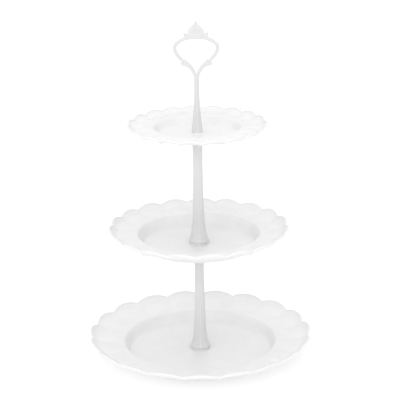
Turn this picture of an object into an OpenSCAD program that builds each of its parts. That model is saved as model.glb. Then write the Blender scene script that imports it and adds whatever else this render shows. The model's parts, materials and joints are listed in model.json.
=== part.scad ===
// Three-tier scalloped cake stand, screwed together on a central column.
// Millimetres. Origin: centre of the foot ring, on the table. +Z up, +Y to the back.

/* [Dishes] */
// Number of scallops round each dish
scallops = 19; // [13:1:27]
// Wall thickness of the dishes
wall = 2; // [1.6:0.1:2.6]
// Radius to the scallop tips, large dish
large_tip_r = 125.5; // [110:0.5:150]
// Radius to the scallop tips, medium dish
medium_tip_r = 100; // [85:1:120]
// Radius to the scallop tips, small dish
small_tip_r = 77; // [62:1:92]
// How far the notches lie inside the tips, large dish
large_notch_in = 3; // [2:0.1:5]
// How far the notches lie inside the tips, medium dish
medium_notch_in = 2; // [1.5:0.1:4]
// How far the notches lie inside the tips, small dish
small_notch_in = 2; // [1.5:0.1:4]
// Height of the scallop tips over the rod's foot, large dish
large_tip_z = 17.5; // [14:0.5:22]
// Height of the scallop tips over the rod's foot, medium dish
medium_tip_z = 17.2; // [14:0.1:22]
// Height of the scallop tips over the stem's foot, small dish
small_tip_z = 9.3; // [8:0.5:14]
// How far the notches lie below the tips, large dish
large_notch_drop = 3.4; // [2:0.1:5]
// How far the notches lie below the tips, medium dish
medium_notch_drop = 3.2; // [1.5:0.1:4]
// How far the notches lie below the tips, small dish
small_notch_drop = 2.2; // [1:0.1:3]
// Radius of the flat floor, large dish
large_floor_r = 78; // [60:1:95]
// Radius of the flat floor, medium dish
medium_floor_r = 60.5; // [45:1:72]
// Radius of the flat floor, small dish
small_floor_r = 41; // [30:1:50]
// Height of the well's upper edge over the rod's foot, large dish
large_well_z = 8; // [6:0.5:11]
// Height of the well's upper edge over the rod's foot, medium dish
medium_well_z = 9.5; // [6:0.5:11]
// Height of the well's upper edge over the stem's foot, small dish
small_well_z = 6; // [4:0.5:7]
// Width of the sloping well wall, seen from above
well_w = 8; // [6:0.5:12]
// Width of the band that curls up along the rim
curl_w = 12; // [8:0.5:16]
// Turn of the medium dish on the column, degrees
medium_turn = 7.8; // [-9:0.1:9]
// Turn of the small dish on the column, degrees
small_turn = 13.6; // [-18:0.1:18]

/* [Centres and foot] */
// Depth of the floor below the rod's foot, large dish
large_floor_drop = 2.9; // [2.2:0.1:4]
// Depth of the floor below the rod's foot, medium dish
medium_floor_drop = 3.1; // [2.2:0.1:4]
// Depth of the floor below the stem's foot, small dish
small_floor_drop = 2.3; // [2.2:0.1:4]
// Radius of the raised boss that a hollow rod stands on
boss_r = 8.9; // [7.5:0.1:15]
// Thickness of the small dish's boss around its socket
small_boss_wall = 1.2; // [1:0.1:3]
// Thickness of the boss's top
boss_top = 1.5; // [1.2:0.1:1.6]
// Outer radius of the foot ring
foot_r = 66; // [50:1:76]
// Thickness of the foot ring
foot_wall = 2.2; // [1.6:0.1:4]
// Height of the foot ring under the floor
foot_h = 4.6; // [4.4:0.1:8]

/* [Rods] */
// Height of each hollow rod, from its foot to its shoulder
rod_h = 120.8; // [90:1:160]
// Radius of a rod's foot
rod_foot_r = 11.65; // [10.5:0.05:14]
// Radius at a rod's waist
rod_waist_r = 5.15; // [4.8:0.05:6.5]
// Radius of a rod's shoulder
rod_top_r = 5.85; // [5.5:0.05:7.5]
// Radius of a rod's hollow
rod_bore_r = 3; // [2:0.1:3.2]
// Thickness of the spigot on a rod's top, around its insert
spigot_wall = 1; // [0.8:0.1:1.2]
// Height of the spigot
spigot_h = 2; // [1.2:0.1:2]
// Height of the slim stem
stem_h = 56.8; // [40:1:80]
// Radius of the stem's foot
stem_foot_r = 5.95; // [5.5:0.05:7]
// Radius of the stem's neck
stem_neck_r = 2.5; // [2.3:0.05:3.2]

/* [Handle] */
// Half width of the carrying loop, to its centre line
loop_half_w = 22.95; // [18:0.05:30]
// Height from the stem's top to the middle of the loop's arch
loop_h = 46.6; // [38:0.1:60]
// Height of the loop's arch over its widest place
arch_h = 11.6; // [9:0.1:18]
// Thickness of the loop's strand, seen from the front
strand_w = 3.2; // [2.6:0.1:4]
// Depth of the loop's strand, from front to back
strand_d = 3.6; // [3:0.1:4.6]
// Height of the crown, from the arch to the bead
crown_h = 15.6; // [10:0.2:20]
// Half width of the crown
crown_half_w = 12.9; // [9:0.1:15]
// Radius of the bead on the crown
bead_r = 1.5; // [1.2:0.1:2.2]
// Radius of the tang that joins the loop to the stem
tang_r = 1.3; // [1:0.1:1.5]
// Length of the tang
tang_l = 10; // [6:0.5:14]

/* [Fasteners] */
// Radius of the studs (M5)
stud_r = 2.5; // [2:0.1:3]
// Length of a stud inside its rod
stud_in = 14; // [10:0.5:15]
// Length of the upper two studs below their rod's foot
stud_out = 12; // [9:0.5:14]
// Gap between the table and the end of the lowest stud
stud_end_gap = 1; // [0.8:0.1:2]
// Radius of the plug in a hollow rod's foot
plug_r = 5.5; // [4.5:0.1:6]
// Height of the plug
plug_h = 16; // [15.5:0.5:20]
// Thickness of the brass inserts around the studs
insert_wall = 0.9; // [0.7:0.05:1.1]
// Length of a rod's insert
insert_l = 12.5; // [11:0.5:16]
// Thickness of the washers under the rods
washer_t = 0.6; // [0.4:0.1:0.8]
// How far a washer's edge lies inside the edge of its boss
washer_in = 0.3; // [0.3:0.1:1]
// Thickness of the washer over the hand nut
base_washer_t = 0.8; // [0.5:0.1:1]
// Radius of the hand nut
nut_r = 13; // [10:0.5:18]
// Radius of the hand nut's hub
hub_r = 5.6; // [4.6:0.1:6]
// Gap between the table and the hand nut
nut_gap = 0.8; // [0.8:0.1:1.2]
// Gap between the hand nut's disc and the dish's floor
nut_top_gap = 0.7; // [0.4:0.1:1]
// Number of grip notches round the hand nut
grips = 16; // [8:1:24]
// Radial clearance of a stud in an insert or a washer
run_gap = 0.05; // [0.02:0.01:0.08]
// Radial clearance of a stud in a dish's hole
turn_gap = 0.1; // [0.05:0.01:0.1]
// Radial clearance of a spigot or a hub in its socket
socket_gap = 0.3; // [0.2:0.05:0.4]

/* [Hidden] */
$fn = 96;
eps = 0.01;

// Heights of the three rod feet over the table
z_lower = foot_h + wall + large_floor_drop;
z_middle = z_lower + rod_h + medium_floor_drop + wall;
z_upper = z_middle + rod_h + small_floor_drop + wall;
z_handle = z_upper + stem_h;

// Radii that fit round one another, from the stud outwards
insert_r = stud_r + insert_wall;
spigot_r = insert_r + spigot_wall;
socket_r = spigot_r + socket_gap;
small_boss_r = socket_r + small_boss_wall;
hub_socket_r = hub_r + socket_gap;

// Underside of a boss's top, below the rod's foot
socket_z = -washer_t - boss_top;
nut_z = z_lower + socket_z - base_washer_t;
disc_top_z = foot_h - nut_top_gap;

// The rod's outline: two decaying flares over the waist, and a small one at the shoulder
foot_flare = 0.5 * (rod_foot_r - rod_waist_r) + 0.1;
foot_flare_h = 8;
long_flare = rod_foot_r - rod_waist_r - foot_flare;
long_flare_h = 0.34 * rod_h;
long_rest = long_flare * exp(-0.75 * rod_h / long_flare_h);
shoulder_from = 0.73;
rod_steps = 34;
function shoulder(u) = u < shoulder_from ? 0
    : pow((u - shoulder_from) / (1 - shoulder_from), 1.5);
function rod_r(u) = rod_waist_r - long_rest * (1 - exp(-u * rod_h / foot_flare_h))
    + foot_flare * exp(-u * rod_h / foot_flare_h) + long_flare * exp(-u * rod_h / long_flare_h)
    + (rod_top_r - rod_waist_r + long_rest - long_flare * exp(-rod_h / long_flare_h)) * shoulder(u);

// The stem's outline: one soft flare over the neck
stem_steps = 20;
function stem_r(u) = stem_neck_r + (stem_foot_r - stem_neck_r) * exp(-pow(2.7 * u, 1.4));

// Upper surface of a dish over the rod's foot. The rim's curl is set so that the surface meets
// both the notches and the tips at their own heights.
curve_steps = 12;
function ease(t) = (1 - cos(180 * t)) / 2;
function curl_share(tip_r, notch_r) = pow((notch_r - tip_r + curl_w) / curl_w, 3);
function brim_slope(tip_r, notch_r, tip_z, notch_z, well_r, well_z) =
    let(k = curl_share(tip_r, notch_r))
    (notch_z - well_z - k * (tip_z - well_z)) / (notch_r - well_r - k * (tip_r - well_r));
function well_points(floor_r, floor_z, well_z) =
    [for (i = [0:curve_steps]) let(t = i / curve_steps)
        [floor_r + well_w * t, floor_z + (well_z - floor_z) * ease(t)]];
function curl_points(tip_r, well_r, well_z, slope, rise) =
    [for (i = [0:curve_steps]) let(t = 1.1 * i / curve_steps, r = tip_r - curl_w + curl_w * t)
        [r, well_z + slope * (r - well_r) + rise * pow(t, 3)]];

// The same line moved down along its normal by the wall thickness
function normal(a, b) = let(d = b - a) [d[1], -d[0]] / norm(d);
function moved(line, t) = [for (i = [0:len(line) - 1])
    let(a = line[max(i - 1, 0)], b = line[min(i + 1, len(line) - 1)]) line[i] + t * normal(a, b)];
function reversed(line) = [for (i = [len(line) - 1:-1:0]) line[i]];

// Outline of a scalloped rim: a disc out to the notches with one round lobe over each gap
module scalloped(tip_r, notch_r, turn) {
    half_step = 180 / scallops;
    half_chord = notch_r * sin(half_step);
    sagitta = tip_r - notch_r * cos(half_step);
    lobe_r = (half_chord * half_chord + sagitta * sagitta) / (2 * sagitta);
    circle(r = notch_r * cos(half_step) + eps, $fn = scallops * 8);
    for (i = [0:scallops - 1])
        rotate(90 + turn + half_step * (2 * i + 1)) translate([tip_r - lobe_r, 0])
            circle(r = lobe_r);
}

// One dish, with its boss and socket, standing over z = 0, the foot of the rod on it
module dish(tip_r, notch_in, tip_z, notch_drop, floor_r, well_z, floor_drop, boss, socket, turn) {
    notch_r = tip_r - notch_in;
    well_r = floor_r + well_w;
    slope = brim_slope(tip_r, notch_r, tip_z, tip_z - notch_drop, well_r, well_z);
    rise = tip_z - well_z - slope * (tip_r - well_r);
    top = concat([[0, -floor_drop]], well_points(floor_r, -floor_drop, well_z),
        curl_points(tip_r, well_r, well_z, slope, rise));
    difference() {
        union() {
            intersection() {
                rotate_extrude() polygon(concat(top, reversed(concat([[0, -floor_drop - wall]],
                    moved([for (i = [1:len(top) - 1]) top[i]], wall)))));
                translate([0, 0, -floor_drop - 2 * wall])
                    linear_extrude(tip_z + floor_drop + 6 * wall)
                        scalloped(tip_r, notch_r, turn);
            }
            translate([0, 0, -floor_drop - wall / 2])
                cylinder(h = floor_drop + wall / 2 - washer_t, r = boss);
        }
        translate([0, 0, -floor_drop - wall - 1]) cylinder(h = floor_drop + wall + 1, r = stud_r + turn_gap);
        translate([0, 0, -floor_drop - wall - 1])
            cylinder(h = floor_drop + wall + 1 + socket_z, r = socket);
    }
}

module plate_large() {
    color("whitesmoke") union() {
        translate([0, 0, z_lower])
            dish(large_tip_r, large_notch_in, large_tip_z, large_notch_drop, large_floor_r,
                large_well_z, large_floor_drop, boss_r, hub_socket_r, 0);
        difference() {
            cylinder(h = foot_h + wall / 2, r = foot_r);
            translate([0, 0, -1]) cylinder(h = foot_h + wall / 2 + 2, r = foot_r - foot_wall);
        }
    }
}

module plate_medium() {
    color("whitesmoke") translate([0, 0, z_middle])
        dish(medium_tip_r, medium_notch_in, medium_tip_z, medium_notch_drop, medium_floor_r,
            medium_well_z, medium_floor_drop, boss_r, socket_r, medium_turn);
}

module plate_small() {
    color("whitesmoke") translate([0, 0, z_upper])
        dish(small_tip_r, small_notch_in, small_tip_z, small_notch_drop, small_floor_r,
            small_well_z, small_floor_drop, small_boss_r, socket_r, small_turn);
}

// A hollow rod: flared foot with the plug's pocket, waist, shoulder and spigot
module rod() {
    difference() {
        union() {
            rotate_extrude() polygon(concat([[0, 0]],
                [for (i = [0:rod_steps]) let(u = i / rod_steps) [rod_r(u), u * rod_h]],
                [[0, rod_h]]));
            cylinder(h = rod_h + spigot_h, r = spigot_r);
        }
        translate([0, 0, -1]) cylinder(h = plug_h + 1, r = plug_r);
        cylinder(h = rod_h, r = rod_bore_r);
        translate([0, 0, rod_h + spigot_h - insert_l]) cylinder(h = insert_l + 1, r = insert_r);
    }
}

module rod_lower() {
    color("white") translate([0, 0, z_lower]) rod();
}

module rod_middle() {
    color("white") translate([0, 0, z_middle]) rod();
}

module rod_upper() {
    color("white") translate([0, 0, z_upper]) difference() {
        rotate_extrude() polygon(concat([[0, 0]],
            [for (i = [0:stem_steps]) let(u = i / stem_steps) [stem_r(u), u * stem_h]],
            [[0, stem_h]]));
        translate([0, 0, -1]) cylinder(h = stud_in + 1, r = stud_r);
        translate([0, 0, stem_h - tang_l]) cylinder(h = tang_l + 1, r = tang_r);
    }
}

// Centre line of the loop's right half over the stem's top: out from the stem in an S,
// up to the widest place, and round the arch
widest_z = loop_h - arch_h;
hook_x = 0.75 * loop_half_w;
hook_z = 0.685 * widest_z;
line_steps = 14;
function bezier(a, b, c, d, t) = pow(1 - t, 3) * a + 3 * pow(1 - t, 2) * t * b
    + 3 * (1 - t) * t * t * c + t * t * t * d;
function loop_line() = concat(
    [for (i = [0:line_steps - 1]) bezier([1, 1.7], [1.8, 0.41 * widest_z],
        [0.5 * loop_half_w, 0.51 * widest_z], [hook_x, hook_z], i / line_steps)],
    [for (i = [0:line_steps - 1]) bezier([hook_x, hook_z],
        [0.88 * loop_half_w, 0.78 * widest_z], [loop_half_w, 0.87 * widest_z],
        [loop_half_w, widest_z], i / line_steps)],
    [for (i = [0:line_steps]) let(a = 90 * i / line_steps)
        [loop_half_w * cos(a), widest_z + arch_h * sin(a)]]);

module both_sides() {
    children();
    mirror([1, 0]) children();
}

// Front view of the loop, with the leaf hooks at its shoulders. The leaf's corners are shares of
// the shoulder's place: up its outer edge to the hook, and back down its inner edge.
leaf = [[0.25, 0.35], [0.34, 0.46], [0.5, 0.575], [0.66, 0.65], [0.83, 0.7], [0.96, 0.72], [0.98, 0.76],
    [0.88, 0.84], [0.74, 0.94], [0.65, 0.9], [0.53, 0.81], [0.34, 0.69], [0.215, 0.555], [0.12, 0.42]];
module loop_outline() {
    line = loop_line();
    both_sides() {
        polygon(concat(moved(line, strand_w / 2), reversed(moved(line, -strand_w / 2))));
        polygon([for (p = leaf) [p[0] * hook_x, p[1] * hook_z]]);
    }
    translate([0, loop_h]) square([4, strand_w], center = true);
}

// Front view of the crown: a pointed fan with a step, and an upright tab at each end. The corners
// are shares of its half width and height, from the bead down to the band on the arch.
crown_edge = [[0, 0.9], [0.11, 0.9], [0.225, 0.83], [0.365, 0.69], [0.465, 0.55], [0.6, 0.46],
    [0.65, 0.31], [0.68, 0.2], [0.76, 0.14], [0.785, 0.22], [1, 0.24], [0.96, 0.06]];
module crown_outline() {
    rim_z = loop_h + strand_w / 2;
    both_sides() polygon(concat([[0, loop_h - 0.5]],
        [for (p = crown_edge) [p[0] * crown_half_w, rim_z + p[1] * crown_h]],
        [[0.96 * crown_half_w, rim_z - 0.26 * arch_h], [0.5 * crown_half_w, loop_h - 0.08 * arch_h]]));
}

module crown_handle() {
    bead_z = loop_h + strand_w / 2 + crown_h - bead_r;
    color("white") translate([0, 0, z_handle]) {
        rotate([90, 0, 0]) translate([0, 0, -strand_d / 2])
            linear_extrude(strand_d) loop_outline();
        rotate([90, 0, 0]) translate([0, 0, -strand_d / 2])
            linear_extrude(strand_d) crown_outline();
        translate([0, 0, bead_z - 2 * bead_r]) cylinder(h = 2 * bead_r, r = 0.6 * bead_r);
        translate([0, 0, bead_z]) sphere(r = bead_r);
        cylinder(h = 0.2 * widest_z, r1 = stem_neck_r, r2 = 0.8 * stem_neck_r);
        translate([0, 0, -tang_l]) cylinder(h = tang_l + eps, r = tang_r);
    }
}

// The plug in a hollow rod's foot, bored for its stud
module plug() {
    color("gainsboro") difference() {
        cylinder(h = plug_h, r = plug_r);
        translate([0, 0, -1]) cylinder(h = stud_in + 1, r = stud_r);
    }
}

module plug_lower() {
    translate([0, 0, z_lower]) plug();
}

module plug_middle() {
    translate([0, 0, z_middle]) plug();
}

module stud(below) {
    color("silver") translate([0, 0, -below]) cylinder(h = stud_in + below, r = stud_r);
}

module stud_lower() {
    translate([0, 0, z_lower]) stud(z_lower - stud_end_gap);
}

module stud_middle() {
    translate([0, 0, z_middle]) stud(stud_out);
}

module stud_upper() {
    translate([0, 0, z_upper]) stud(stud_out);
}

// A brass insert with a clear bore, down from z = 0
module insert(length) {
    color("goldenrod") translate([0, 0, -length]) difference() {
        cylinder(h = length, r = insert_r);
        translate([0, 0, -1]) cylinder(h = length + 2, r = stud_r + run_gap);
    }
}

module insert_lower() {
    translate([0, 0, z_lower + rod_h + spigot_h]) insert(insert_l);
}

module insert_middle() {
    translate([0, 0, z_middle + rod_h + spigot_h]) insert(insert_l);
}

// The hand nut under the large dish: a low notched disc with a hub that reaches into the boss
module base_nut() {
    color("gainsboro") difference() {
        union() {
            translate([0, 0, nut_gap]) cylinder(h = disc_top_z - nut_gap, r = nut_r);
            translate([0, 0, nut_gap]) cylinder(h = nut_z - nut_gap, r = hub_r);
        }
        translate([0, 0, -1]) cylinder(h = nut_z + 2, r = insert_r);
        for (i = [0:grips - 1])
            rotate(360 * i / grips) translate([nut_r + 0.6, 0, -1])
                cylinder(h = disc_top_z + 2, r = 1.4, $fn = 24);
    }
}

module nut_insert() {
    translate([0, 0, nut_z]) insert(nut_z - nut_gap);
}

// A flat soft washer that rides on a stud
module washer(outer_r, thickness) {
    color("lightgray") difference() {
        cylinder(h = thickness, r = outer_r);
        translate([0, 0, -1]) cylinder(h = thickness + 2, r = stud_r + run_gap);
    }
}

module washer_base() {
    translate([0, 0, nut_z]) washer(hub_r, base_washer_t);
}

module washer_lower() {
    translate([0, 0, z_lower - washer_t]) washer(boss_r - washer_in, washer_t);
}

module washer_middle() {
    translate([0, 0, z_middle - washer_t]) washer(boss_r - washer_in, washer_t);
}

module washer_upper() {
    translate([0, 0, z_upper - washer_t]) washer(small_boss_r - washer_in, washer_t);
}

plate_large();
plate_medium();
plate_small();
rod_lower();
rod_middle();
rod_upper();
crown_handle();
plug_lower();
plug_middle();
stud_lower();
stud_middle();
stud_upper();
insert_lower();
insert_middle();
base_nut();
nut_insert();
washer_base();
washer_lower();
washer_middle();
washer_upper();
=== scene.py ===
import json
import math

import bmesh
import bpy
from bpy.props import (FloatProperty, FloatVectorProperty, IntProperty, PointerProperty)
from bpy.types import Operator, Panel, PropertyGroup
from mathutils import Matrix, Vector


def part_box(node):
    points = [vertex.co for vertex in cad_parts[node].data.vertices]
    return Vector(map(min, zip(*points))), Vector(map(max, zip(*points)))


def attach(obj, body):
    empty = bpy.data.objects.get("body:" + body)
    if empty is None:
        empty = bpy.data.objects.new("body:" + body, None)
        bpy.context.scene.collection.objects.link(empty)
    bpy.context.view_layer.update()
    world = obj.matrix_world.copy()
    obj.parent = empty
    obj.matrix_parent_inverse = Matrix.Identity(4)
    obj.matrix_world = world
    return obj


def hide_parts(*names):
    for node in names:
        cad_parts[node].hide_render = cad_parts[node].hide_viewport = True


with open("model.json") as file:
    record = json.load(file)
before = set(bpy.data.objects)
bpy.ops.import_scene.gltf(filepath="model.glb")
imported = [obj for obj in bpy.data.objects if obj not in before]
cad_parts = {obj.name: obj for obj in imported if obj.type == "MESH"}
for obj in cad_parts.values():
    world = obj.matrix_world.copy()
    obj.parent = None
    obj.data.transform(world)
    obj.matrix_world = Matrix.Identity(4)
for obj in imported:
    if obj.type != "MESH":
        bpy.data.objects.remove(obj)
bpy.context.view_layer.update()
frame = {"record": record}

bl_info = {
    "name": "Tiered cake stand",
    "version": (1, 0, 0),
    "blender": (4, 5, 0),
    "location": "View3D > Sidebar > Cake stand",
    "description": "Scalloped dishes on a fluted column that screws together, with a crowned loop",
    "category": "Add Mesh",
}

TURN = 2 * math.pi
MM = 0.001
# The foot of each rod, and the top of the stem, as the solids stand at rest
FOOT_Z = [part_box(node)[0].z for node in ("rod_lower", "rod_middle", "rod_upper")]
STEM_TOP_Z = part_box("rod_upper")[1].z


def length(name, default, description, **more):
    """A length in metres, shown in the sidebar."""
    return FloatProperty(name=name, description=description, default=default, min=0, unit="LENGTH",
                         precision=4, **more)


def three_lengths(name, default, description):
    """One length for each of the large, medium and small dish."""
    return FloatVectorProperty(name=name, description=description + ", large to small", default=default,
                               size=3, unit="LENGTH", precision=4)


def shade(name, default, description):
    """A colour, shown in the sidebar."""
    return FloatVectorProperty(name=name, description=description, default=default, size=3,
                               subtype="COLOR", min=0, max=1)


class DishSizes(PropertyGroup):
    """Sizes of the three dishes. Heights are over the foot of the rod that stands on the dish."""
    scallops: IntProperty(name="Scallops", description="Number of petals round each dish", default=19,
                          min=5, max=40)
    wall: length("Wall", 2 * MM, "Thickness of a dish")
    tip_r: three_lengths("Tip radius", (125.4 * MM, 100 * MM, 77 * MM), "Radius to the petals' tips")
    notch_in: three_lengths("Notch depth", (3 * MM, 2 * MM, 2 * MM), "Notches inside the tips")
    tip_z: three_lengths("Tip height", (17.5 * MM, 17.2 * MM, 9.3 * MM), "Height of the tips")
    notch_drop: three_lengths("Notch drop", (3.4 * MM, 3.2 * MM, 2.2 * MM), "Notches below the tips")
    floor_r: three_lengths("Floor radius", (78 * MM, 60.5 * MM, 41 * MM), "Radius of the flat floor")
    well_z: three_lengths("Well height", (8 * MM, 9.5 * MM, 6 * MM), "Height of the well's edge")
    floor_drop: three_lengths("Floor depth", (2.9 * MM, 3.1 * MM, 2.3 * MM), "Floor below the rod")
    boss_r: three_lengths("Boss radius", (8.9 * MM, 8.9 * MM, 5.9 * MM), "Radius of the raised boss")
    well_w: length("Well wall", 8 * MM, "Width of the sloping wall, seen from above")
    curl_w: length("Curl", 12 * MM, "Width of the band that curls up along the rim")
    boss_top: length("Boss top", 1.5 * MM, "Thickness of the boss over its socket")
    bead: length("Rim bead", 0.25 * MM, "How far the rounded rim stands out from the wall")
    crease: length("Crease", 1.3 * MM, "Depth of the creases between the petals")
    vein: length("Veins", 0.1 * MM, "Height of the veins on the petals")
    hole_r: length("Hole", 2.6 * MM, "Radius of the hole for the stud")
    foot_wall: length("Foot ring", 2.2 * MM, "Thickness of the foot ring")
    foot_r: length("Foot ring radius", 66 * MM, "Outer radius of the foot ring")


class ColumnSizes(PropertyGroup):
    """Sizes of the two hollow rods and the stem."""
    waist_r: length("Waist", 5.15 * MM, "Radius of a rod's waist")
    top_r: length("Shoulder", 5.85 * MM, "Radius of a rod's shoulder")
    spigot_r: length("Spigot", 4.4 * MM, "Radius of the spigot on a rod's top")
    spigot_h: length("Spigot height", 2 * MM, "Height of the spigot")
    bore_r: length("Hollow", 3 * MM, "Radius of a rod's hollow")
    plug_r: length("Plug", 5.5 * MM, "Radius of the plug in a rod's foot")
    plug_h: length("Plug height", 16 * MM, "Height of the plug")
    neck_r: length("Neck", 2.5 * MM, "Radius of the stem's neck")
    tang_r: length("Tang", 1.3 * MM, "Radius of the hole for the loop's tang")
    tang_l: length("Tang length", 10 * MM, "Depth of the hole for the loop's tang")
    flutes: IntProperty(name="Flutes", description="Number of flutes round a rod", default=14, min=6)
    flute_depth: length("Flute depth", 0.28 * MM, "Depth of a flute at a rod's waist")
    stem_flutes: IntProperty(name="Stem flutes", description="Number of flutes round the stem",
                             default=10, min=6)


class HandleSizes(PropertyGroup):
    """Sizes of the carrying loop and its crown. Heights are over the stem's top."""
    half_w: length("Half width", 22.95 * MM, "Half width of the loop, to its centre line")
    height: length("Height", 46.6 * MM, "Height of the loop's arch")
    arch_h: length("Arch", 11.6 * MM, "Height of the arch over the widest place")
    strand_w: length("Strand width", 3.2 * MM, "Width of the strand, seen from the front")
    strand_d: length("Strand depth", 3.6 * MM, "Depth of the strand, from front to back")
    bead_r: length("Bead", 1.5 * MM, "Radius of the bead on the crown")
    voxel: length("Blend", 0.22 * MM, "Grain at which the moulded parts are blended")


class FastenerSizes(PropertyGroup):
    """Sizes of the studs, inserts, washers and the hand nut."""
    pitch: length("Pitch", 0.8 * MM, "Rise of the thread in one turn")
    thread_depth: length("Thread depth", 0.45 * MM, "Depth of the thread")
    run_gap: length("Running gap", 0.05 * MM, "Clearance of a stud in an insert")
    insert_r: length("Insert", 3.4 * MM, "Outer radius of an insert")
    grips: IntProperty(name="Grips", description="Grip notches round the hand nut", default=16, min=6)


class Colours(PropertyGroup):
    """Colours of the finishes."""
    dish: shade("Dishes", (0.84, 0.84, 0.84), "White plastic of the dishes")
    # The column's white is set darker than the dishes': partly the plastic's own tone, partly painted shade
    # for the upright rods and the thin loop, which catch less light.
    column: shade("Column", (0.7, 0.7, 0.7), "White plastic of the rods and the loop")
    nut: shade("Nut", (0.8, 0.8, 0.8), "Plastic of the hand nut and the plugs")
    steel: shade("Steel", (0.62, 0.63, 0.65), "Zinc-plated steel of the studs")
    brass: shade("Brass", (0.75, 0.58, 0.27), "Brass of the inserts")
    washer: shade("Washers", (0.75, 0.76, 0.76), "Soft plastic of the washers")
    floor: shade("Floor", (0.75, 0.75, 0.75), "Paper under the stand")


class CakeStandSettings(PropertyGroup):
    """All settings of the stand."""
    dishes: PointerProperty(type=DishSizes)
    column: PointerProperty(type=ColumnSizes)
    handle: PointerProperty(type=HandleSizes)
    fasteners: PointerProperty(type=FastenerSizes)
    colours: PointerProperty(type=Colours)


# ---------------------------------------------------------------- finishes

class Wire:
    """A shader socket that Python's arithmetic works on, one Math node for each operation."""

    def __init__(self, finish, socket):
        self.finish, self.socket = finish, socket

    def math(self, operation, *values):
        return self.finish.node("ShaderNodeMath", {"operation": operation}, dict(enumerate(values)))

    def __add__(self, other):
        return self.math("ADD", self, other)

    def __radd__(self, other):
        return self.math("ADD", other, self)

    def __sub__(self, other):
        return self.math("SUBTRACT", self, other)

    def __rsub__(self, other):
        return self.math("SUBTRACT", other, self)

    def __mul__(self, other):
        return self.math("MULTIPLY", self, other)

    def __rmul__(self, other):
        return self.math("MULTIPLY", other, self)

    def __pow__(self, other):
        return self.math("POWER", self, other)


class Finish:
    """A material under construction: one Principled shader and the nodes that feed it."""

    def __init__(self, name, **constants):
        self.material = bpy.data.materials.new(name)
        self.material.use_nodes = True
        self.tree = self.material.node_tree
        self.shader = self.tree.nodes["Principled BSDF"]
        for socket, value in constants.items():
            self.set(socket.replace("_", " "), value)

    def set(self, socket, value):
        self.put(self.shader.inputs[socket], value)

    def put(self, socket, value):
        if isinstance(value, Wire):
            self.tree.links.new(value.socket, socket)
        else:
            socket.default_value = value

    def node(self, kind, settings=None, values=None, output=0):
        """Adds a node, sets its settings and then its sockets, and returns one output."""
        made = self.tree.nodes.new(kind)
        for name, value in (settings or {}).items():
            if name == "stops":
                for stop, (place, colour) in zip(made.color_ramp.elements, value):
                    stop.position, stop.color = place, colour
            else:
                setattr(made, name, value)
        for socket, value in (values or {}).items():
            self.put(made.inputs[socket], value)
        return Wire(self, made.outputs[output])

    def place(self):
        return self.node("ShaderNodeTexCoord", output="Object")

    def noise(self, scale, detail=2.0, stretch=(1, 1, 1)):
        where = self.node("ShaderNodeMapping", None, {"Vector": self.place(), "Scale": stretch})
        return self.node("ShaderNodeTexNoise", None, {"Vector": where, "Scale": scale, "Detail": detail},
                         output="Fac")

    def blend(self, share, one, other):
        """A colour between two others."""
        ramp = {"stops": [(0.3, (*one, 1)), (0.7, (*other, 1))]}
        return self.node("ShaderNodeValToRGB", ramp, {"Fac": share}, output="Color")

    def bump(self, height, distance, strength=1.0):
        self.set("Normal", self.node("ShaderNodeBump", None,
                                     {"Height": height, "Distance": distance, "Strength": strength}))


def darker(colour, share):
    return tuple(share * value for value in colour)


def dish_plastic(colours):
    """Glossy white moulded plastic with slow waves, orange peel and faint milky clouds."""
    made = Finish("white dish plastic", IOR=1.46, Coat_Weight=0.1, Coat_Roughness=0.2)
    clouds = made.noise(55, 3)
    made.set("Base Color", made.blend(clouds, darker(colours.dish, 0.97), tuple(colours.dish)))
    made.set("Roughness", 0.3 + 0.1 * made.noise(180, 3))
    made.bump(made.noise(70, 2), 0.0004, 0.3)
    return made.material


def column_plastic(colours):
    """The same plastic on the rods and the loop, with flow lines along them. Its white is darker than the
    dishes': partly the plastic's own tone, partly painted shade for the upright rods and the thin loop.
    """
    made = Finish("white column plastic", IOR=1.46, Coat_Weight=0.1, Coat_Roughness=0.15)
    flow = made.noise(420, 2, (1, 1, 0.08))
    made.set("Base Color", made.blend(flow, darker(colours.column, 0.97), tuple(colours.column)))
    made.set("Roughness", 0.28 + 0.12 * made.noise(260, 3))
    made.bump(0.5 * flow + 0.5 * made.noise(1100, 1), 0.00008, 0.7)
    return made.material


def nut_plastic(colours):
    """Satin moulded plastic with a fine spark-eroded grain."""
    made = Finish("satin nut plastic", IOR=1.46)
    grain = made.noise(2400, 2)
    made.set("Base Color", made.blend(made.noise(200, 2), darker(colours.nut, 0.95), tuple(colours.nut)))
    made.set("Roughness", 0.42 + 0.2 * grain)
    made.bump(grain, 0.00006, 0.8)
    return made.material


def stud_steel(colours):
    """Zinc-plated steel with turned marks and a slightly uneven plating."""
    made = Finish("zinc plated steel", Metallic=1.0)
    marks = made.noise(900, 2, (1, 1, 6))
    made.set("Base Color", made.blend(made.noise(300, 3), darker(colours.steel, 0.85), tuple(colours.steel)))
    made.set("Roughness", 0.24 + 0.2 * marks)
    made.bump(marks, 0.00002, 0.6)
    return made.material


def insert_brass(colours):
    """Turned brass with fine cutting rings."""
    made = Finish("turned brass", Metallic=1.0)
    rings = made.noise(700, 1, (1, 1, 9))
    made.set("Base Color", made.blend(made.noise(400, 3), darker(colours.brass, 0.85), tuple(colours.brass)))
    made.set("Roughness", 0.22 + 0.18 * rings)
    made.bump(rings, 0.00003, 0.6)
    return made.material


def washer_plastic(colours):
    """Soft, slightly cloudy washer plastic."""
    made = Finish("soft washer plastic", IOR=1.42, Subsurface_Weight=0.2,
                  Subsurface_Radius=(0.003, 0.003, 0.003))
    cloud = made.noise(500, 2)
    made.set("Base Color", made.blend(cloud, darker(colours.washer, 0.92), tuple(colours.washer)))
    made.set("Roughness", 0.45 + 0.15 * cloud)
    made.bump(made.noise(1600, 2), 0.00005, 0.5)
    return made.material


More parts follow.
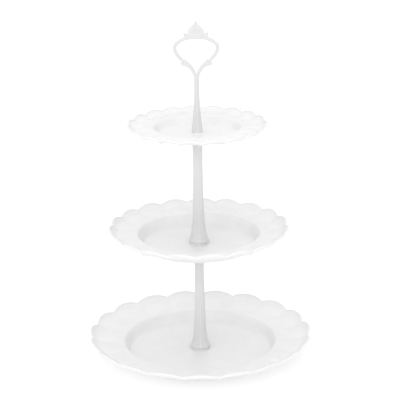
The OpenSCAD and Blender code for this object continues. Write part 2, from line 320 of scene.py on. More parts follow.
def floor_paper(colours):
    """Plain white paper."""
    made = Finish("white paper", Specular_IOR_Level=0.1, Emission_Color=(1, 1, 1, 1),
                  Emission_Strength=0.35)
    fibre = made.noise(300, 2)
    made.set("Base Color", made.blend(fibre, darker(colours.floor, 0.99), tuple(colours.floor)))
    made.set("Roughness", 0.8 + 0.1 * fibre)
    return made.material


FINISHES = {
    "dish_plastic": dish_plastic,
    "column_plastic": column_plastic,
    "nut_plastic": nut_plastic,
    "stud_steel": stud_steel,
    "insert_brass": insert_brass,
    "washer_rubber": washer_plastic,
}
finish_cache = {}


def finish(slot, settings):
    """The material of one of the record's slots, made once."""
    if slot not in finish_cache:
        finish_cache[slot] = FINISHES[slot](settings.colours)
    return finish_cache[slot]


# ---------------------------------------------------------------- meshes

def mesh_object(name, points, faces, sharp_deg=38):
    """An object in the scene from points and faces, smooth except at its sharp edges."""
    mesh = bpy.data.meshes.new(name)
    mesh.from_pydata(points, [], faces)
    shape = bmesh.new()
    shape.from_mesh(mesh)
    bmesh.ops.recalc_face_normals(shape, faces=shape.faces)
    for face in shape.faces:
        face.smooth = True
    shape.to_mesh(mesh)
    shape.free()
    mesh.set_sharp_from_angle(angle=math.radians(sharp_deg))
    made = bpy.data.objects.new(name, mesh)
    bpy.context.scene.collection.objects.link(made)
    return made


def fit_piece(made, node, settings):
    """The object stands for a CAD node: its body, its place in the table, and its finish."""
    body = next(name for name, nodes in frame["record"]["behaviour"]["bodies"].items() if node in nodes)
    slot = next(part["material_slot"] for part in frame["record"]["subparts"] if part["node"] == node)
    made.data.materials.clear()
    made.data.materials.append(finish(slot, settings))
    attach(made, body)
    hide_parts(node)


def turned(section_at, columns, first=0.0, closed=True):
    """Points and faces round the Z axis. section_at(angle) lists the (radius, height) points of the
    section there: a closed loop, or an open line whose two ends are capped."""
    points, faces = [], []
    for column in range(columns):
        angle = first + TURN * column / columns
        section = section_at(angle)
        points += [(r * math.cos(angle), r * math.sin(angle), z) for r, z in section]
    count = len(section)
    for column in range(columns):
        here, there = column * count, (column + 1) % columns * count
        for row in range(count if closed else count - 1):
            above = (row + 1) % count
            faces.append((here + row, there + row, there + above, here + above))
    if not closed:
        faces.append(tuple(column * count for column in range(columns)))
        faces.append(tuple(column * count + count - 1 for column in range(columns)))
    return points, faces


def rounded(corners, radius, steps=3):
    """A closed line of (radius, height) corners with each corner rounded off."""
    line = []
    for i, corner in enumerate(corners):
        corner = Vector(corner)
        before, after = Vector(corners[i - 1]) - corner, Vector(corners[(i + 1) % len(corners)]) - corner
        reach = min(radius, 0.45 * before.length, 0.45 * after.length)
        start, end = corner + reach * before.normalized(), corner + reach * after.normalized()
        for step in range(steps + 1):
            t = step / steps
            line.append(tuple((1 - t) ** 2 * start + 2 * t * (1 - t) * corner + t * t * end))
    return line


def ease(t):
    return (1 - math.cos(math.pi * min(max(t, 0), 1))) / 2


def offset_line(line, distance):
    """The line moved to its right by a distance, seen along it."""
    moved = []
    for i, here in enumerate(line):
        ahead, behind = line[min(i + 1, len(line) - 1)], line[max(i - 1, 0)]
        dx, dz = ahead[0] - behind[0], ahead[1] - behind[1]
        size = math.hypot(dx, dz)
        moved.append((here[0] + distance * dz / size, here[1] - distance * dx / size))
    return moved


# ---------------------------------------------------------------- dishes

class Dish:
    """Sizes of one dish and the shape of its section at any angle."""
    BRIM_STEPS = 34
    WELL_STEPS = 12
    LOBE_STEPS = 20

    def __init__(self, sizes, tier, hub_socket_r, washer_t, foot):
        self.sizes, self.foot = sizes, foot
        for name in ("tip_r", "notch_in", "tip_z", "notch_drop", "floor_r", "well_z", "floor_drop",
                     "boss_r"):
            setattr(self, name, getattr(sizes, name)[tier])
        self.turn = math.radians((0, 7.8, 13.6)[tier])
        self.step = TURN / sizes.scallops
        self.first = math.pi / 2 + self.turn
        self.notch_r = self.tip_r - self.notch_in
        self.well_r = self.floor_r + sizes.well_w
        self.under = -self.floor_drop - sizes.wall
        self.top_z, self.socket_z = -washer_t, -washer_t - sizes.boss_top
        self.socket_r = hub_socket_r
        chord = self.notch_r * math.sin(self.step / 2)
        sagitta = self.tip_r - self.notch_r * math.cos(self.step / 2)
        self.lobe_r = (chord ** 2 + sagitta ** 2) / (2 * sagitta)
        curl = ((self.notch_r - self.tip_r + sizes.curl_w) / sizes.curl_w) ** 3
        rise = self.tip_z - self.well_z
        self.slope = ((rise - self.notch_drop - curl * rise)
                      / (self.notch_r - self.well_r - curl * (self.tip_r - self.well_r)))

    def rim(self, across):
        """Radius of the rim at an angle from a petal's middle."""
        centre = self.tip_r - self.lobe_r
        return centre * math.cos(across) + math.sqrt(self.lobe_r ** 2 - (centre * math.sin(across)) ** 2)

    def relief(self, t, side):
        """Height of the pattern on a petal: t runs out to the rim, side across from -1 to 1."""
        s = self.sizes
        spread = ease((t - 0.12) / 0.3) * (1 - ease((t - 0.8) / 0.12))
        fan = math.cos(3.5 * math.pi * side) * (1 - abs(side)) ** 0.6
        line = math.exp(-((t - 0.9) / 0.018) ** 2) - 0.6 * math.exp(-((t - 0.945) / 0.02) ** 2)
        edge = math.exp(-((t - 0.045) / 0.02) ** 2)
        return s.vein * (spread * fan + 1.4 * line + 1.2 * edge)

    def brim(self, across):
        """Upper line of the brim at an angle from a petal's middle, from the well to the rim."""
        s = self.sizes
        side = across / (self.step / 2)
        reach = self.rim(across)
        share = (reach - self.notch_r) / self.notch_in
        edge_z = self.tip_z - self.notch_drop * (1 - share)
        outer = reach - s.wall - s.bead
        curl_from = 1 - s.curl_w / (self.tip_r - self.well_r)
        lift = edge_z - self.well_z - self.slope * (outer - self.well_r)
        line = []
        for i in range(1, self.BRIM_STEPS + 1):
            t = i / self.BRIM_STEPS
            r = self.well_r + (outer - self.well_r) * t
            z = self.well_z + self.slope * (r - self.well_r)
            z += lift * max((t - curl_from) / (1 - curl_from), 0) ** 2.4
            valley = abs(side) ** 3 * ease((t - 0.15) / 0.7) * (1 - 0.75 * ease((t - 0.8) / 0.2))
            crown = (1 - side * side) * ease((t - 0.1) / 0.5) * (1 - ease((t - 0.75) / 0.25))
            z += s.crease * (0.35 * crown - valley) + self.relief(t, side)
            line.append((r, z))
        return line

    def section(self, angle):
        """The closed section of the dish at an angle round the column."""
        s = self.sizes
        across = (angle - self.first) % self.step - self.step / 2
        floor, round_r = -self.floor_drop, 0.5 * MM
        centre = [(s.hole_r, self.top_z - 0.2 * MM), (s.hole_r + 0.2 * MM, self.top_z),
                  (self.boss_r - round_r, self.top_z),
                  (self.boss_r - 0.3 * round_r, self.top_z - 0.3 * round_r),
                  (self.boss_r, self.top_z - round_r), (self.boss_r, floor + 2 * round_r),
                  (self.boss_r + 0.6 * round_r, floor + 0.6 * round_r), (self.boss_r + 2 * round_r, floor)]
        start = self.boss_r + 2 * round_r
        plain = [(start + (self.floor_r - start) * i / 5, floor) for i in range(1, 5)]
        rise, well = self.well_z - floor, []
        for i in range(self.WELL_STEPS + 1):
            t = i / self.WELL_STEPS
            blend = t * t * (3 - 2 * t) + t * t * (t - 1) * self.slope * s.well_w / rise
            well.append((self.floor_r + s.well_w * t, floor + rise * blend))
        shell = well + self.brim(across)
        below = offset_line(shell, s.wall)
        end, end_below = Vector(shell[-1]), Vector(below[-1])
        middle, up = (end + end_below) / 2, (end - end_below).normalized()
        out = Vector((up.y, -up.x))
        bead = [tuple(middle + (s.wall / 2 + s.bead) * (math.cos(a) * out + math.sin(a) * up))
                for a in (math.radians(d) for d in (100, 75, 50, 25, 0, -25, -50, -75, -100))]
        lower = [point for i, point in enumerate(reversed(below)) if i % 2 == 0 or i > 33]
        ring = []
        if self.foot:
            outer, inner, low = s.foot_r, s.foot_r - s.foot_wall, -FOOT_Z[0]
            ring = [(outer + 0.6 * MM, self.under), (outer, self.under - 0.6 * MM), (outer, low + 0.5 * MM),
                    (outer - 0.5 * MM, low), (inner + 0.5 * MM, low), (inner, low + 0.5 * MM),
                    (inner, self.under - 0.6 * MM), (inner - 0.6 * MM, self.under)]
        socket = [(self.socket_r + 0.3 * MM, self.under), (self.socket_r, self.under + 0.3 * MM),
                  (self.socket_r, self.socket_z), (s.hole_r, self.socket_z)]
        line = centre + plain + shell + bead + lower + ring + socket
        return line


class CAKESTAND_OT_dishes(Operator):
    """Make the three scalloped dishes"""
    bl_idname = "cakestand.dishes"
    bl_label = "Dishes"

    def execute(self, context):
        settings = context.scene.cake_stand
        washer_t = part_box("washer_lower")[1].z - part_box("washer_lower")[0].z
        hub_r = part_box("washer_base")[1].x
        gap = 0.3 * MM
        sockets = (hub_r + gap, settings.column.spigot_r + gap, settings.column.spigot_r + gap)
        for tier, node in enumerate(("plate_large", "plate_medium", "plate_small")):
            dish = Dish(settings.dishes, tier, sockets[tier], washer_t, foot=tier == 0)
            columns = settings.dishes.scallops * dish.LOBE_STEPS
            points, faces = turned(dish.section, columns, dish.first)
            points = [(x, y, z + FOOT_Z[tier]) for x, y, z in points]
            fit_piece(mesh_object(f"dish_{node[6:]}", points, faces, 32), node, settings)
        return {"FINISHED"}


# ---------------------------------------------------------------- column

def rod_radius(u, height, foot_r, sizes):
    """Outline of a hollow rod: two decaying flares over the waist and one at the shoulder."""
    extra = foot_r - sizes.waist_r
    foot_flare = 0.5 * extra + 0.1 * MM
    long_flare = extra - foot_flare
    rest = long_flare * math.exp(-0.75 / 0.34)
    shoulder = (max(u - 0.73, 0) / 0.27) ** 1.5
    top = sizes.top_r - sizes.waist_r + rest - long_flare * math.exp(-1 / 0.34)
    near = math.exp(-u * height / (8 * MM))
    return (sizes.waist_r - rest * (1 - near) + foot_flare * near
            + long_flare * math.exp(-u / 0.34) + top * shoulder)


def stem_radius(u, foot_r, neck_r):
    """Outline of the stem: one soft flare over the neck."""
    return neck_r + (foot_r - neck_r) * math.exp(-(2.7 * u) ** 1.4)


def flute(angle, count, depth):
    """Depth of the flutes at an angle: round hollows between narrow ridges."""
    return depth * abs(math.sin(count * angle / 2)) ** 0.85


class CAKESTAND_OT_rods(Operator):
    """Make the two hollow fluted rods"""
    bl_idname = "cakestand.rods"
    bl_label = "Hollow rods"

    def execute(self, context):
        settings = context.scene.cake_stand
        sizes = settings.column
        steps = 56
        for tier, node in enumerate(("rod_lower", "rod_middle")):
            low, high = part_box(node)
            height = high.z - low.z - sizes.spigot_h
            insert_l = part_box("insert_lower")[1].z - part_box("insert_lower")[0].z

            def section(angle, height=height, foot_r=high.x, insert_l=insert_l):
                outer = []
                for i in range(steps + 1):
                    u = (i / steps) ** 1.25
                    r = rod_radius(u, height, foot_r, sizes)
                    fade = ease(u * height / (1.6 * MM)) * ease((1 - u) * height / (2.5 * MM))
                    depth = sizes.flute_depth * (r / sizes.waist_r) * (0.25 + 0.75 * fade)
                    outer.append((r - flute(angle, sizes.flutes, depth), u * height))
                edge_r, edge = outer[0][0], 0.35 * MM
                outer[0] = (edge_r - edge, 0)
                outer.insert(1, (edge_r, edge))
                outer[-1] = (outer[-1][0] - edge, height)
                top = height + sizes.spigot_h
                insert_r = settings.fasteners.insert_r
                return ([(sizes.plug_r, 0)] + outer
                        + [(sizes.spigot_r, height), (sizes.spigot_r, top - edge),
                           (sizes.spigot_r - edge, top), (insert_r, top), (insert_r, top - insert_l),
                           (sizes.bore_r, top - insert_l), (sizes.bore_r, sizes.plug_h),
                           (sizes.plug_r, sizes.plug_h)])

            points, faces = turned(section, 8 * sizes.flutes)
            points = [(x, y, z + FOOT_Z[tier]) for x, y, z in points]
            fit_piece(mesh_object(f"fluted_{node}", points, faces, 30), node, settings)
        return {"FINISHED"}


class CAKESTAND_OT_stem(Operator):
    """Make the slim fluted stem over the top dish"""
    bl_idname = "cakestand.stem"
    bl_label = "Stem"

    def execute(self, context):
        settings = context.scene.cake_stand
        sizes = settings.column
        low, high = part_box("rod_upper")
        height, steps = high.z - low.z, 40
        stud_low, stud_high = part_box("stud_upper")
        stud_r, stud_in = stud_high.x, stud_high.z - low.z

        def section(angle):
            outer = []
            for i in range(steps + 1):
                u = i / steps
                r = stem_radius(u, high.x, sizes.neck_r)
                fade = ease(u * height / (1.6 * MM)) * ease((1 - u) * height / (2 * MM))
                depth = 0.11 * r * (0.25 + 0.75 * fade)
                outer.append((r - flute(angle, sizes.stem_flutes, depth), u * height))
            edge = 0.3 * MM
            foot_r = outer[0][0]
            outer[0] = (foot_r - edge, 0)
            outer.insert(1, (foot_r, edge))
            outer[-1] = (outer[-1][0] - edge, height)
            tang_z = height - sizes.tang_l
            return ([(stud_r, 0)] + outer + [(sizes.tang_r, height), (sizes.tang_r, tang_z),
                                             (0.1 * MM, tang_z), (0.1 * MM, stud_in), (stud_r, stud_in)])

        points, faces = turned(section, 8 * sizes.stem_flutes)
        points = [(x, y, z + low.z) for x, y, z in points]
        fit_piece(mesh_object("fluted_stem", points, faces, 30), "rod_upper", settings)
        return {"FINISHED"}


# ---------------------------------------------------------------- handle

def bezier(a, b, c, d, t):
    a, b, c, d = (Vector(point) for point in (a, b, c, d))
    return (1 - t) ** 3 * a + 3 * (1 - t) ** 2 * t * b + 3 * (1 - t) * t * t * c + t ** 3 * d


def swept(line, half_w, half_d, sides=14, power=1.15, mirror=1):
    """A bar along a line of (x, z) points. half_w(t) is its half width in the plane of the line and
    half_d(t) its half depth in Y, for t from 0 to 1 along it. A power over 1 gives it ridges."""
    points, faces, count = [], [], len(line)
    for i, here in enumerate(line):
        t = i / (count - 1)
        along = (Vector(line[min(i + 1, count - 1)]) - Vector(line[max(i - 1, 0)])).normalized()
        normal = Vector((along.y, -along.x))
        for side in range(sides):
            a = TURN * side / sides
            c, s = math.cos(a), math.sin(a)
            wide = math.copysign(abs(c) ** power, c) * half_w(t)
            deep = math.copysign(abs(s) ** power, s) * half_d(t)
            spot = Vector(here) + wide * normal
            points.append((mirror * spot.x, deep, spot.y))
    for i in range(count - 1):
        for side in range(sides):
            a, b = i * sides + side, i * sides + (side + 1) % sides
            faces.append((a, b, b + sides, a + sides))
    faces.append(tuple(range(sides)))
    faces.append(tuple((count - 1) * sides + side for side in range(sides)))
    return points, faces


def ball(centre, radius, rings=10, sides=18):
    """A round bead."""
    line = [(centre[0], centre[1] - radius * math.cos(math.pi * i / rings)) for i in range(rings + 1)]

    def half(t):
        return radius * max(math.sin(math.pi * t), 0.02)

    return swept(line, half, half, sides, 1.0)


def joined(parts):
    """Several (points, faces) as one."""
    points, faces = [], []
    for more_points, more_faces in parts:
        start = len(points)
        points += more_points
        faces += [tuple(start + i for i in face) for face in more_faces]
    return points, faces


def blended(made, voxel, passes):
    """The object's overlapping parts as one moulded skin."""
    remesh = made.modifiers.new("blend", "REMESH")
    remesh.mode, remesh.voxel_size, remesh.use_smooth_shade = "VOXEL", voxel, True
    soften = made.modifiers.new("soften", "SMOOTH")
    soften.factor, soften.iterations = 0.5, passes
    skin = bpy.data.meshes.new_from_object(made.evaluated_get(bpy.context.evaluated_depsgraph_get()))
    made.modifiers.clear()
    old, made.data = made.data, skin
    bpy.data.meshes.remove(old)
    skin.name = made.name
    for face in skin.polygons:
        face.use_smooth = True


def between(stops, t):
    """The value at t on a line through (place, value) stops."""
    for (t0, v0), (t1, v1) in zip(stops, stops[1:]):
        if t <= t1:
            return v0 + (v1 - v0) * (t - t0) / (t1 - t0)
    return stops[-1][1]


def through(corners, steps=6):
    """A smooth line through (x, z) corners."""
    corners = [Vector(corner) for corner in corners]
    corners = [2 * corners[0] - corners[1]] + corners + [2 * corners[-1] - corners[-2]]
    line = []
    for a, b, c, d in zip(corners, corners[1:], corners[2:], corners[3:]):
        for i in range(steps):
            t = i / steps
            line.append(b + 0.5 * t * (c - a + t * (2 * a - 5 * b + 4 * c - d + t * (3 * (b - c) + d - a))))
    return line + [corners[-2]]


def loop_parts(sizes):
    """The carrying loop's two halves: a strand in an S up to the arch, and a veined leaf along its
    lower end that opens in a hook."""
    wide, top_z = sizes.half_w, sizes.height
    widest_z = top_z - sizes.arch_h
    w, d = sizes.strand_w / 2, sizes.strand_d / 2
    hook = (0.75 * wide, 0.685 * widest_z)

    def place(x, z):
        return (x * hook[0], z * hook[1])

    strand = [bezier((1 * MM, 1.7 * MM), (1.8 * MM, 0.41 * widest_z), (0.5 * wide, 0.51 * widest_z), hook,
                     i / 22) for i in range(22)]
    strand += [bezier(hook, (0.88 * wide, 0.78 * widest_z), (wide, 0.87 * widest_z), (wide, widest_z), i / 16)
               for i in range(16)]
    strand += [Vector((wide * math.cos(a), widest_z + sizes.arch_h * math.sin(a)))
               for a in (math.radians(90 * i / 36) for i in range(37))]
    spine = through([place(0.09, 0.2), place(0.15, 0.34), place(0.275, 0.5), place(0.42, 0.635),
                     place(0.58, 0.735), place(0.7, 0.815), place(0.76, 0.88)])
    hooked = through([place(0.36, 0.57), place(0.55, 0.655), place(0.74, 0.71), place(0.88, 0.735),
                      place(0.96, 0.78)])
    curled = through([place(0.4, 0.66), place(0.56, 0.78), place(0.66, 0.865), place(0.725, 0.935)])
    leaf_w = ((0, 1.0), (0.35, 1.25), (0.6, 1.45), (0.85, 1.45), (1, 0.7))
    strand_w = ((0, 0.95), (0.15, 0.9), (0.3, 1.15), (0.5, 1.18), (1, 1.1))
    parts = []
    for mirror in (1, -1):
        parts.append(swept(strand, lambda t: w * between(strand_w, t),
                           lambda t: d * between(((0, 0.8), (0.25, 0.6), (0.42, 0.92), (1, 0.95)), t),
                           mirror=mirror))
        parts.append(swept(spine, lambda t: w * between(leaf_w, t),
                           lambda t: d * between(((0, 0.8), (0.6, 1.0), (1, 0.7)), t), mirror=mirror))
        parts.append(swept(hooked, lambda t: w * between(((0, 0.5), (0.5, 0.95), (0.85, 1.0), (1, 0.6)), t),
                           lambda t: d * between(((0, 0.5), (0.4, 1.0), (1, 0.6)), t), mirror=mirror))
        parts.append(swept(curled, lambda t: w * between(((0, 0.3), (0.5, 0.5), (1, 0.25)), t),
                           lambda t: d * between(((0, 0.5), (0.5, 1.05), (1, 0.6)), t), mirror=mirror))
    return parts


def fan(root_z, half_d, sizes):
    """The crown's fan: petals that spread from a point on the arch, grooved between them. Its edge
    is set by radii at angles from the upright."""
    edge = [(angle, radius * MM) for angle, radius in
            ((0, 13.4), (12, 13.1), (24, 11.7), (34, 10.6), (43, 11.1), (50, 10.6), (60, 9.9), (72, 9.4),
             (84, 9.2), (100, 8.2))]
    points, faces, rings, spokes = [], [], 12, 96
    for side in (1, -1):
        for ring in range(rings + 1):
            share = ring / rings
            for spoke in range(spokes + 1):
                angle = 95 * (2 * spoke / spokes - 1)
                petal = abs(math.sin(math.pi * angle / 22))
                radius = between(edge, abs(angle)) * share * (1 - 0.04 * (1 - petal) * share)
                thick = half_d * (0.62 + 0.38 * petal ** 0.7) * (1 - 0.45 * share ** 4)
                points.append((radius * math.sin(math.radians(angle)), side * thick,
                               root_z + radius * math.cos(math.radians(angle))))
    row = spokes + 1
    other = (rings + 1) * row
    for ring in range(rings):
        for spoke in range(spokes):
            a = ring * row + spoke
            faces.append((a, a + 1, a + row + 1, a + row))
            faces.append((other + a, other + a + row, other + a + row + 1, other + a + 1))
    for spoke in range(spokes):
        a, b = rings * row + spoke, spoke
        faces.append((a, a + 1, other + a + 1, other + a))
        faces.append((b, other + b, other + b + 1, b + 1))
    for ring in range(rings):
        for spoke in (0, spokes):
            a = ring * row + spoke
            faces.append((a, a + row, other + a + row, other + a))
    return points, faces


def crown_parts(sizes):
    """The crown over the arch: a ribbed band, an upright tab at each end, a fan and a bead."""
    wide, top_z = sizes.half_w, sizes.height
    rim = sizes.strand_w / 2
    bead_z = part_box("crown_handle")[1].z - STEM_TOP_Z - sizes.bead_r
    arch_a, arch_b = wide + rim, sizes.arch_h + rim

    def arch(x, over):
        return Vector((x, top_z - sizes.arch_h + (arch_b + over) * math.sqrt(1 - (x / (arch_a + over)) ** 2)))

    parts, reach = [], 12.4 * MM
    for over, half_h, half_d in ((0.5 * MM, 0.9 * MM, 1.7 * MM), (1.6 * MM, 0.8 * MM, 1.35 * MM),
                                 (2.5 * MM, 0.55 * MM, 1.6 * MM)):
        line = [arch(reach * (i / 16 - 1), over) for i in range(33)]
        parts.append(swept(line, lambda t, h=half_h: h, lambda t, d=half_d: d, power=0.8))
    for mirror in (1, -1):
        tab = through([arch(11.5 * MM, -0.8 * MM), arch(11.6 * MM, 2 * MM), arch(11.8 * MM, 4.8 * MM)])
        parts.append(swept(tab, lambda t: (1.25 + 0.4 * t ** 3) * MM, lambda t: 1.55 * MM, mirror=mirror,
                           power=0.7))
    parts.append(fan(top_z + rim - 0.2 * MM, 1.5 * MM, sizes))
    parts.append(ball((0, bead_z), sizes.bead_r))
    return parts


class CAKESTAND_OT_handle(Operator):
    """Make the carrying loop with its leaf hooks, crown and bead"""
    bl_idname = "cakestand.handle"
    bl_label = "Crowned loop"

    def execute(self, context):
        settings = context.scene.cake_stand
        sizes, column = settings.handle, settings.column
        neck, edge = column.neck_r, 0.3 * MM
        shank = turned(lambda angle: [(neck - edge, 0.05 * MM), (neck, edge),
                                      (0.97 * neck, 2 * MM), (0.8 * neck, 5.2 * MM), (0.4 * neck, 6.6 * MM)],
                       32, closed=False)
        tang = turned(lambda angle: [(column.tang_r, -column.tang_l), (column.tang_r, MM)], 24, closed=False)
        parts = [shank, tang] + loop_parts(sizes) + crown_parts(sizes)
        points, faces = joined(parts)
        points = [(x, y, z + STEM_TOP_Z) for x, y, z in points]
        made = mesh_object("crowned_loop", points, faces)
        blended(made, sizes.voxel, 3)
        fit_piece(made, "crown_handle", settings)
        return {"FINISHED"}


# ---------------------------------------------------------------- fasteners

def thread(angle, z, pitch):
    """Share of the thread's depth at a place: 0 on the crest and 1 in the root, right-handed."""
    phase = (z / pitch - angle / TURN) % 1
    return min(max(1.3 * (1 - abs(2 * phase - 1)) - 0.15, 0), 1)


def threaded_line(angle, low, high, radius, sizes, fade, rows=8):
    """(radius, height) points up a thread that runs out within fade at both ends."""
    count = max(round((high - low) / sizes.pitch * rows), 4)
    line = []
    for i in range(count + 1):
        z = low + (high - low) * i / count
        end = min(z - low, high - z)
        depth = sizes.thread_depth * thread(angle, z, sizes.pitch)
        line.append((radius - max(depth, fade - end if end < fade else 0), z))
    return line


class CAKESTAND_OT_studs(Operator):
    """Make the three threaded studs"""
    bl_idname = "cakestand.studs"
    bl_label = "Studs"

    def execute(self, context):
        settings = context.scene.cake_stand
        for node in ("stud_lower", "stud_middle", "stud_upper"):
            low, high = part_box(node)
            points, faces = turned(lambda angle: threaded_line(angle, low.z, high.z, high.x,
                                                               settings.fasteners, 0.6 * MM),
                                   32, closed=False)
            fit_piece(mesh_object(f"threaded_{node}", points, faces, 50), node, settings)
        return {"FINISHED"}


class CAKESTAND_OT_inserts(Operator):
    """Make the brass inserts with knurls outside and a thread inside"""
    bl_idname = "cakestand.inserts"
    bl_label = "Brass inserts"

    def execute(self, context):
        settings = context.scene.cake_stand
        sizes = settings.fasteners
        stud_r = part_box("stud_lower")[1].x
        for node in ("insert_lower", "insert_middle", "nut_insert"):
            low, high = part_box(node)
            outer_r, height = high.x, high.z - low.z

            def section(angle, low=low.z, high=high.z, outer_r=outer_r, height=height):
                knurl = 0.16 * MM * (0.5 + 0.5 * math.cos(28 * angle))
                edge, waist = 0.25 * MM, 0.3 * MM
                outside = [(outer_r - edge, high), (outer_r, high - edge), (outer_r, high - 1.0 * MM),
                           (outer_r - knurl, high - 1.1 * MM), (outer_r - knurl, high - 0.45 * height),
                           (outer_r - waist, high - 0.47 * height), (outer_r - waist, low + 0.45 * height),
                           (outer_r - knurl, low + 0.43 * height), (outer_r - knurl, low + edge),
                           (outer_r - edge - 0.16 * MM, low)]
                bore = threaded_line(angle, low, high, stud_r + sizes.run_gap, sizes, 0)
                bore[0] = (stud_r + sizes.run_gap, low)
                bore[-1] = (stud_r + sizes.run_gap, high)
                return outside + bore

            points, faces = turned(section, 112)
            fit_piece(mesh_object(f"brass_{node}", points, faces, 40), node, settings)
        return {"FINISHED"}


class CAKESTAND_OT_plugs(Operator):
    """Make the plugs that hold the studs in the hollow rods"""
    bl_idname = "cakestand.plugs"
    bl_label = "Plugs"

    def execute(self, context):
        settings = context.scene.cake_stand
        for node, stud in (("plug_lower", "stud_lower"), ("plug_middle", "stud_middle")):
            low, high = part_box(node)
            stud_r, stud_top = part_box(stud)[1].x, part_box(stud)[1].z

            def section(angle, low=low.z, high=high.z, r=high.x, stud_r=stud_r, stud_top=stud_top):
                rib = 0.12 * MM * (0.5 + 0.5 * math.cos(24 * angle))
                edge = 0.4 * MM
                return [(stud_r + edge, low), (r - edge, low), (r, low + edge), (r, low + 2 * MM),
                        (r - rib, low + 2.4 * MM), (r - rib, high - 2 * edge), (r - 2 * edge, high),
                        (0.1 * MM, high), (0.1 * MM, stud_top), (stud_r, stud_top), (stud_r, low + edge)]

            points, faces = turned(section, 96)
            fit_piece(mesh_object(f"ribbed_{node}", points, faces), node, settings)
        return {"FINISHED"}


class CAKESTAND_OT_washers(Operator):
    """Make the four soft washers"""
    bl_idname = "cakestand.washers"
    bl_label = "Washers"

    def execute(self, context):
        settings = context.scene.cake_stand
        hole_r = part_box("stud_lower")[1].x + settings.fasteners.run_gap
        for node in ("washer_base", "washer_lower", "washer_middle", "washer_upper"):
            low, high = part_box(node)
            corners = [(hole_r, low.z), (high.x, low.z), (high.x, high.z), (hole_r, high.z)]
            line = rounded(corners, 0.22 * MM)
            points, faces = turned(lambda angle: line, 72)
            fit_piece(mesh_object(f"soft_{node}", points, faces, 60), node, settings)
        return {"FINISHED"}


class CAKESTAND_OT_hand_nut(Operator):
    """Make the low hand nut under the large dish"""
    bl_idname = "cakestand.hand_nut"
    bl_label = "Hand nut"

    def execute(self, context):
        settings = context.scene.cake_stand
        sizes = settings.fasteners
        low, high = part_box("base_nut")
        disc_r = 13 * MM
        disc_top = FOOT_Z[0] - settings.dishes.floor_drop[0] - settings.dishes.wall - 0.7 * MM
        hub_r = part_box("washer_base")[1].x

        def section(angle):
            grip = 0.8 * MM * max(math.cos(sizes.grips * angle), 0) ** 3
            edge, dip = 0.5 * MM, 0.6 * MM
            r = disc_r - grip
            return [(sizes.insert_r, low.z), (hub_r, low.z), (hub_r + edge, low.z + dip),
                    (r - 3.2 * MM, low.z + dip), (r - 2.6 * MM, low.z), (r - edge, low.z),
                    (r, low.z + edge), (r, disc_top - edge), (r - edge, disc_top),
                    (hub_r + 0.8 * MM, disc_top), (hub_r, disc_top + 0.8 * MM), (hub_r, high.z - 0.3 * MM),
                    (hub_r - 0.3 * MM, high.z), (sizes.insert_r, high.z)]

        points, faces = turned(section, 16 * sizes.grips)
        fit_piece(mesh_object("hand_nut", points, faces, 40), "base_nut", settings)
        return {"FINISHED"}


# ---------------------------------------------------------------- stage

def softbox(name, place, target, size, power):
    """A large soft light aimed at a point."""
    lamp = bpy.data.lights.new(name, "AREA")
    lamp.shape, lamp.size, lamp.size_y, lamp.energy = "RECTANGLE", size[0], size[1], power
    made = bpy.data.objects.new(name, lamp)
    made.location = place
    made.rotation_mode = "QUATERNION"
    made.rotation_quaternion = (Vector(target) - Vector(place)).to_track_quat("-Z", "Y")
    bpy.context.scene.collection.objects.link(made)


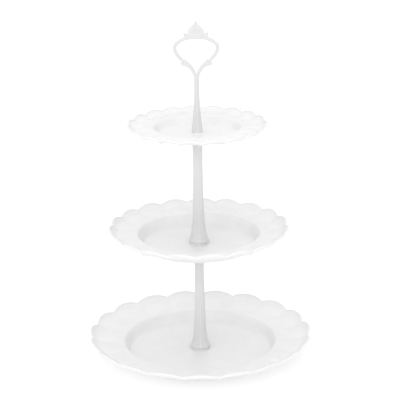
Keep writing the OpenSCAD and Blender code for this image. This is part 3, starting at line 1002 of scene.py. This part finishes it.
class CAKESTAND_OT_stage(Operator):
    """Lay the paper, hang the lights and set up the camera"""
    bl_idname = "cakestand.stage"
    bl_label = "Stage"

    def execute(self, context):
        settings = context.scene.cake_stand
        scene = context.scene
        half = 9.0
        floor = mesh_object("paper_floor", [(-half, -half, 0), (half, -half, 0), (half, half, 0),
                                            (-half, half, 0)], [(0, 1, 2, 3)])
        floor.data.materials.append(floor_paper(settings.colours))

        world = bpy.data.worlds.new("studio")
        world.use_nodes = True
        backdrop = world.node_tree.nodes["Background"]
        backdrop.inputs["Color"].default_value = (1, 1, 1, 1)
        backdrop.inputs["Strength"].default_value = 0.88
        scene.world = world
        middle = (0, 0, 0.15)
        softbox("top_light", (0, -0.2, 2.2), middle, (2.0, 2.0), 7)
        softbox("key_light", (-0.3, -2.1, 1.2), middle, (2.0, 0.9), 13)
        softbox("rear_light", (0.3, 1.9, 1.45), middle, (1.6, 1.0), 2)

        lens = bpy.data.cameras.new("camera")
        lens.sensor_width, lens.lens = 36, 135.8
        lens.clip_start, lens.clip_end = 0.05, 50
        camera = bpy.data.objects.new("camera", lens)
        back, height, pitch, roll = 1.5825, 0.6784, math.radians(17.73), math.radians(-0.82)
        camera.matrix_world = (Matrix.Translation((0.0019, -back, FOOT_Z[0] + height))
                               @ Matrix.Rotation(math.pi / 2 - pitch, 4, "X") @ Matrix.Rotation(roll, 4, "Z"))
        scene.collection.objects.link(camera)
        scene.camera = camera
        scene.view_settings.view_transform = "Standard"
        return {"FINISHED"}


class CAKESTAND_PT_sidebar(Panel):
    """The stand's sizes and colours, and a button for each group of pieces"""
    bl_idname = "CAKESTAND_PT_sidebar"
    bl_label = "Tiered cake stand"
    bl_space_type = "VIEW_3D"
    bl_region_type = "UI"
    bl_category = "Cake stand"

    def draw(self, context):
        settings = context.scene.cake_stand
        for group in ("dishes", "column", "handle", "fasteners", "colours"):
            box = self.layout.box()
            box.label(text=group.capitalize())
            values = getattr(settings, group)
            for name in values.__annotations__:
                box.prop(values, name)
        for operator in OPERATORS:
            self.layout.operator(operator.bl_idname)


GROUPS = (DishSizes, ColumnSizes, HandleSizes, FastenerSizes, Colours, CakeStandSettings)
OPERATORS = (CAKESTAND_OT_stage, CAKESTAND_OT_dishes, CAKESTAND_OT_rods, CAKESTAND_OT_stem,
             CAKESTAND_OT_handle, CAKESTAND_OT_studs, CAKESTAND_OT_inserts, CAKESTAND_OT_plugs,
             CAKESTAND_OT_washers, CAKESTAND_OT_hand_nut)


def register():
    for cls in GROUPS + OPERATORS + (CAKESTAND_PT_sidebar,):
        bpy.utils.register_class(cls)
    bpy.types.Scene.cake_stand = PointerProperty(type=CakeStandSettings)


def unregister():
    del bpy.types.Scene.cake_stand
    for cls in reversed(GROUPS + OPERATORS + (CAKESTAND_PT_sidebar,)):
        bpy.utils.unregister_class(cls)


def main():
    register()
    for operator in OPERATORS:
        family, name = operator.bl_idname.split(".")
        getattr(getattr(bpy.ops, family), name)()


if __name__ == "__main__":
    main()
